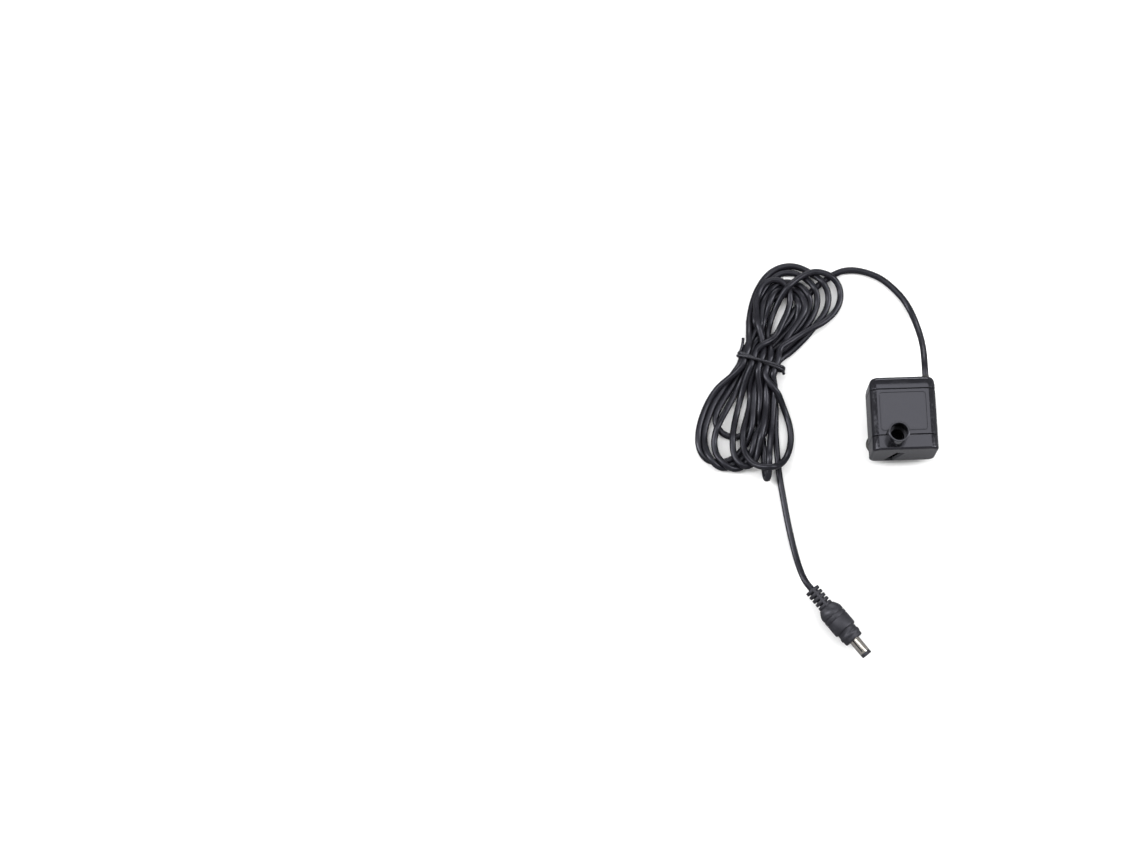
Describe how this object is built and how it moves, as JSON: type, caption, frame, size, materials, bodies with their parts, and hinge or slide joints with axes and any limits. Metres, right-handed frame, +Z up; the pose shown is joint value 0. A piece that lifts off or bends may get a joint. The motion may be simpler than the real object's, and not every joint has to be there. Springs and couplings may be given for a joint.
{
  "type": "fountain submersible pump",
  "caption": "Small black submersible pump in a rounded box, with a round outlet nozzle on its face, a slanted intake slot at one end, suction cups, and a tied cord with a barrel plug.",
  "frame": {"origin": "on the floor under the middle of the pump body, where its suction cups stand", "axes": "+Z up along the outlet nozzle; +Y along the pump to the end where the cord leaves; +X across the pump, towards the side where the cord leaves"},
  "size_m": [0.122, 0.2084, 0.0402],
  "materials": {
    "housing_plastic": "gloss black, moulded",
    "cord_jacket": "matt black, smooth",
    "plug_moulding": "satin black, fine grain",
    "black_rubber": "matt",
    "white_plastic": "satin",
    "steel": "ground",
    "nickel": "bright nickel",
    "ferrite": "dull grey",
    "copper_wire": "enamelled copper windings",
    "circuit_board": "green solder mask",
    "resin": "poured, smooth",
    "red_wire": "satin"
  },
  "bodies": {
    "pump": {"motor_housing": "housing_plastic", "end_cap": "housing_plastic", "cable_gland": "black_rubber", "chamber_seal": "black_rubber", "rear_shaft_holder": "black_rubber", "rotor_shaft": "steel", "front_thrust_washer": "steel", "rear_thrust_washer": "steel", "stator_core": "ferrite", "coil_1": "copper_wire", "coil_2": "copper_wire", "coil_3": "copper_wire", "coil_4": "copper_wire", "driver_board": "circuit_board", "driver_chip": "plug_moulding", "hall_sensor": "plug_moulding", "capacitor": "steel", "potting_resin": "resin", "lead_positive": "red_wire", "lead_negative": "plug_moulding", "suction_cup_1": "black_rubber", "suction_cup_2": "black_rubber", "suction_cup_3": "black_rubber", "cord_lead": "cord_jacket", "cord_hank": "cord_jacket", "cord_tail": "cord_jacket", "cord_tie": "plug_moulding", "plug_overmould": "plug_moulding", "plug_barrel": "nickel", "plug_insulator": "plug_moulding", "plug_contact": "nickel"},
    "rotor": {"impeller": "white_plastic", "rotor_magnet": "ferrite"},
    "cover": {"impeller_cover": "housing_plastic", "intake_plate": "white_plastic", "front_shaft_holder": "black_rubber"}
  },
  "joints": [
    {"name": "impeller_spin", "type": "hinge", "parent": "pump", "child": "rotor", "pos_m": [0, -0.01, 0.017], "axis": [0, 1, 0], "continuous": true},
    {"name": "cover_pull", "type": "slide", "parent": "pump", "child": "cover", "axis": [0, -1, 0], "range_m": [0, 0.02]}
  ]
}
